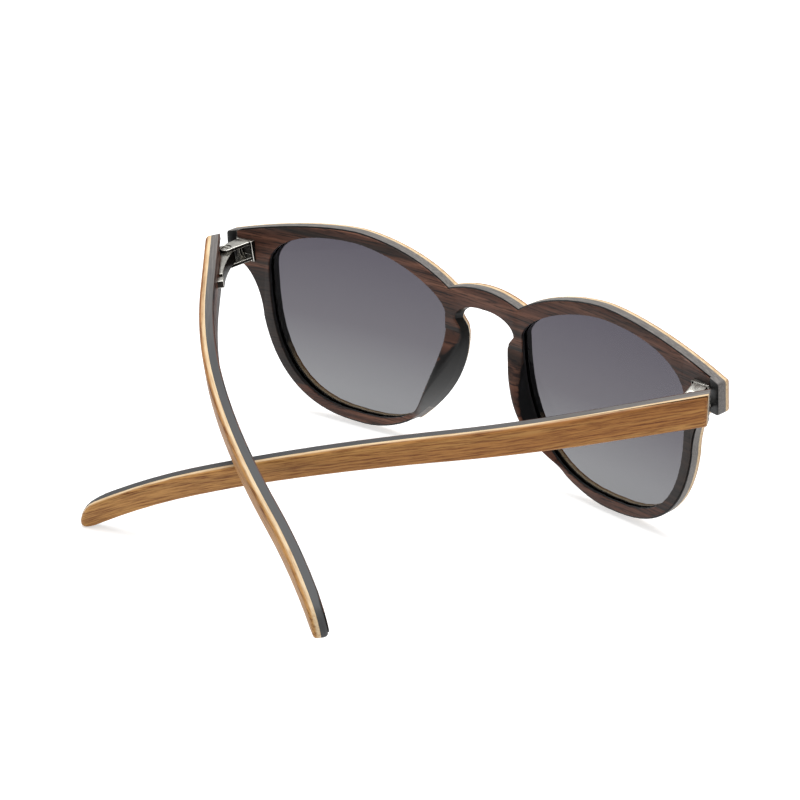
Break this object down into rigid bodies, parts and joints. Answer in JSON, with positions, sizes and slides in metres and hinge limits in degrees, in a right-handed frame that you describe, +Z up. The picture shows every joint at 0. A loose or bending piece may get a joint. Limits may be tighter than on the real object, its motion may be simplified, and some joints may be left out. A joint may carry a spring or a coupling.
{
  "type": "wooden sunglasses",
  "caption": "Sunglasses with a bent laminated wood front, tinted lenses, built-up nose pads and slim laminated arms on sprung metal hinges, arms half folded and crossing.",
  "frame": {"origin": "rear edge of the underside of the bridge, in the middle, where the frame sits on the nose", "axes": "+X to the wearer's right, +Y the way the wearer looks, +Z up"},
  "size_m": [0.1445, 0.0933, 0.046],
  "materials": {
    "light_oak": "satin oil",
    "black_core": "satin oil",
    "dark_rosewood": "satin oil",
    "honey_oak": "satin oil",
    "tinted_lens": "polished",
    "hinge_steel": "satin"
  },
  "bodies": {
    "front": {"front_facing": "light_oak", "front_core": "black_core", "front_veneer": "dark_rosewood", "lens_left": "tinted_lens", "lens_right": "tinted_lens", "nose_pad_left": "black_core", "nose_pad_right": "black_core", "nose_veneer_left": "dark_rosewood", "nose_veneer_right": "dark_rosewood", "hinge_bracket_left": "hinge_steel", "hinge_bracket_right": "hinge_steel", "hinge_screw_left": "hinge_steel", "hinge_screw_right": "hinge_steel"},
    "slider_left": {"hinge_slider_left": "hinge_steel", "hinge_spring_left": "hinge_steel"},
    "arm_left": {"arm_facing_left": "honey_oak", "arm_core_left": "black_core", "arm_veneer_left": "dark_rosewood", "spring_case_left": "hinge_steel"},
    "slider_right": {"hinge_slider_right": "hinge_steel", "hinge_spring_right": "hinge_steel"},
    "arm_right": {"arm_facing_right": "honey_oak", "arm_core_right": "black_core", "arm_veneer_right": "dark_rosewood", "spring_case_right": "hinge_steel"}
  },
  "joints": [
    {"name": "right_arm_fold", "type": "hinge", "parent": "front", "child": "slider_right", "pos_m": [0.0666, -0.01099, -0.0003], "axis": [0, 0.1392, -0.9903], "range_deg": [-48.8, 31.2]},
    {"name": "right_arm_flex", "type": "slide", "parent": "slider_right", "child": "arm_right", "axis": [-0.7524, -0.6523, -0.0917], "range_m": [0, 0.0012], "stiffness_N_per_m": 600, "springref_m": -0.001, "deforming": ["hinge_spring_right"]},
    {"name": "left_arm_fold", "type": "hinge", "parent": "front", "child": "slider_left", "pos_m": [-0.0666, -0.01099, -0.0003], "axis": [0, -0.1392, 0.9903], "range_deg": [-42.8, 27.4]},
    {"name": "left_arm_flex", "type": "slide", "parent": "slider_left", "child": "arm_left", "axis": [0.6794, -0.7266, -0.1021], "range_m": [0, 0.0012], "stiffness_N_per_m": 600, "springref_m": -0.001, "deforming": ["hinge_spring_left"]}
  ],
  "couplings": [
    {"joint": "left_arm_fold", "follows": "right_arm_fold", "ratio": 0.877}
  ]
}
